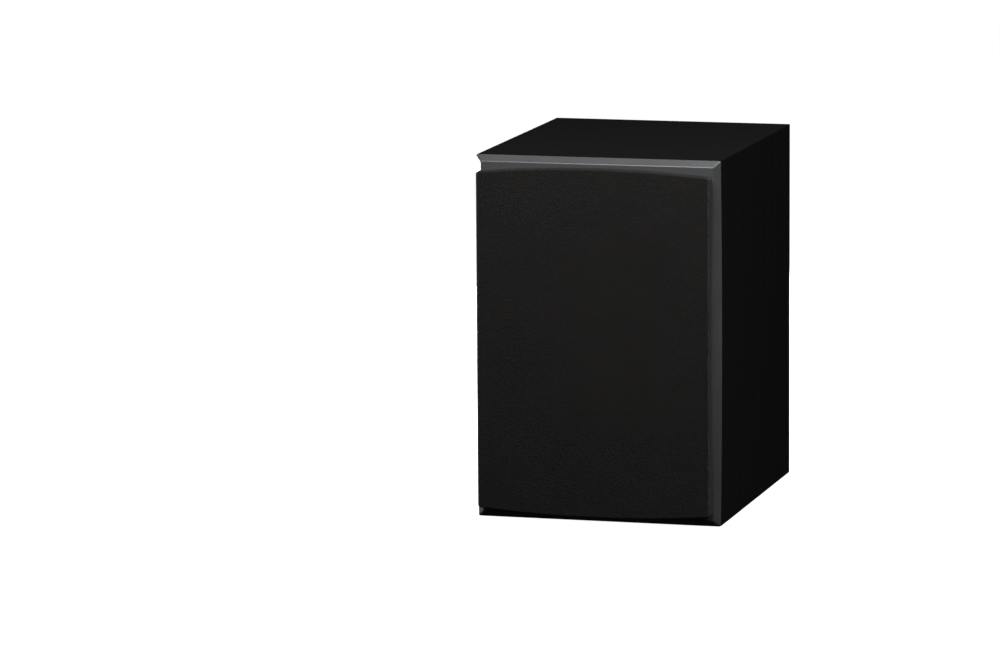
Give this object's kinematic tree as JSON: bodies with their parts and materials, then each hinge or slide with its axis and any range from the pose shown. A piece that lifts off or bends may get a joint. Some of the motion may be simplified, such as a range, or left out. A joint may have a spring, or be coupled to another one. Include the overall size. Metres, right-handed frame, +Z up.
{
  "type": "bookshelf speaker",
  "caption": "Black two-way bookshelf speaker: folded vinyl-wrapped box, bevelled moulded baffle, pull-off cloth grille, rear port and recessed binding posts.",
  "frame": {"origin": "the middle of the whole loudspeaker's underside, grille on, on the surface it stands on", "axes": "+Z up; -Y out of the front, where it radiates; +X to the right as seen from the front"},
  "size_m": [0.2018, 0.2648, 0.293],
  "materials": {
    "wrapped_mdf": "satin black vinyl wrap",
    "raw_mdf": "raw MDF",
    "charcoal_moulding": "fine satin",
    "black_plastic": "matt",
    "black_screws": "black zinc",
    "black_rubber": "matt",
    "basket_paint": "black powder coat",
    "foam_seal": "closed-cell foam",
    "cone_paper": "black pulp",
    "coil_former": "plain",
    "copper_winding": "enamelled copper",
    "spider_cloth": "resin-treated cotton",
    "plated_steel": "zinc plated",
    "ferrite": "sintered ferrite",
    "brass": "bright",
    "tinsel": "braided",
    "silk": "doped silk",
    "port_plastic": "matt",
    "plated_brass": "gold plated",
    "red_knob": "red",
    "black_knob": "black",
    "circuit_board": "solder mask",
    "nylon": "natural nylon",
    "capacitor_sleeve": "shrink sleeve",
    "cement": "cement",
    "wire_sleeve": "PVC",
    "wadding": "polyester fibre",
    "grille_frame": "matt",
    "grille_cloth": "stretched knit"
  },
  "bodies": {
    "loudspeaker": {"top_panel": "wrapped_mdf", "bottom_panel": "wrapped_mdf", "left_panel": "wrapped_mdf", "right_panel": "wrapped_mdf", "rear_panel": "wrapped_mdf", "front_board": "raw_mdf", "window_brace": "raw_mdf", "baffle_moulding": "charcoal_moulding", "baffle_screws": "black_screws", "grille_sockets": "black_rubber", "woofer_basket": "basket_paint", "woofer_seal": "foam_seal", "woofer_trim_ring": "black_rubber", "woofer_top_plate": "plated_steel", "woofer_magnet": "ferrite", "woofer_yoke": "plated_steel", "woofer_terminals": "brass", "woofer_screws": "black_screws", "tweeter_faceplate": "black_plastic", "tweeter_top_plate": "plated_steel", "tweeter_magnet": "ferrite", "tweeter_yoke": "plated_steel", "tweeter_terminals": "brass", "tweeter_seal": "foam_seal", "tweeter_screws": "black_screws", "port_flare": "port_plastic", "port_tube": "port_plastic", "terminal_cup": "black_plastic", "terminal_gasket": "foam_seal", "terminal_screws": "black_screws", "binding_posts": "plated_brass", "post_insulators": "black_plastic", "post_nuts": "brass", "crossover_board": "circuit_board", "crossover_inductors": "copper_winding", "crossover_capacitors": "capacitor_sleeve", "crossover_resistors": "cement", "crossover_standoffs": "nylon", "wires_input": "wire_sleeve", "wires_woofer": "wire_sleeve", "wires_tweeter": "wire_sleeve", "wire_terminals": "brass", "damping_pads": "wadding"},
    "grille": {"grille_frame": "grille_frame", "grille_cloth": "grille_cloth", "grille_pegs": "black_plastic"},
    "woofer_diaphragm": {"woofer_cone": "cone_paper", "woofer_dust_cap": "cone_paper", "woofer_coil_former": "coil_former", "woofer_coil_winding": "copper_winding", "woofer_surround": "black_rubber", "woofer_spider": "spider_cloth", "woofer_tinsel_leads": "tinsel"},
    "tweeter_diaphragm": {"tweeter_dome": "silk", "tweeter_voice_coil": "coil_former", "tweeter_surround": "silk"},
    "positive_washer": {"post_washer_positive": "plated_brass"},
    "positive_knob": {"post_knob_positive": "red_knob"},
    "negative_washer": {"post_washer_negative": "plated_brass"},
    "negative_knob": {"post_knob_negative": "black_knob"}
  },
  "joints": [
    {"name": "grille_pull", "type": "slide", "parent": "loudspeaker", "child": "grille", "axis": [0, -1, 0], "range_m": [0, 0.1]},
    {"name": "woofer_travel", "type": "slide", "parent": "loudspeaker", "child": "woofer_diaphragm", "axis": [0, -1, 0], "range_m": [-0.004, 0.004], "stiffness_N_per_m": 1400, "deforming": ["woofer_surround", "woofer_spider", "woofer_tinsel_leads"]},
    {"name": "tweeter_travel", "type": "slide", "parent": "loudspeaker", "child": "tweeter_diaphragm", "axis": [0, -1, 0], "range_m": [-0.0003, 0.0003], "stiffness_N_per_m": 100, "deforming": ["tweeter_surround"]},
    {"name": "positive_post_lift", "type": "slide", "parent": "loudspeaker", "child": "positive_washer", "axis": [0, 1, 0], "range_m": [0, 0.0045]},
    {"name": "positive_post_turn", "type": "hinge", "parent": "positive_washer", "child": "positive_knob", "pos_m": [-0.00953, 0.11445, 0.072], "axis": [0, 1, 0], "range_deg": [0, 1620]},
    {"name": "negative_post_lift", "type": "slide", "parent": "loudspeaker", "child": "negative_washer", "axis": [0, 1, 0], "range_m": [0, 0.0045]},
    {"name": "negative_post_turn", "type": "hinge", "parent": "negative_washer", "child": "negative_knob", "pos_m": [0.00953, 0.11445, 0.072], "axis": [0, 1, 0], "range_deg": [0, 1620]}
  ],
  "couplings": [
    {"joint": "positive_post_turn", "follows": "positive_post_lift", "rad_per_m": 6283.2},
    {"joint": "negative_post_turn", "follows": "negative_post_lift", "rad_per_m": 6283.2}
  ]
}
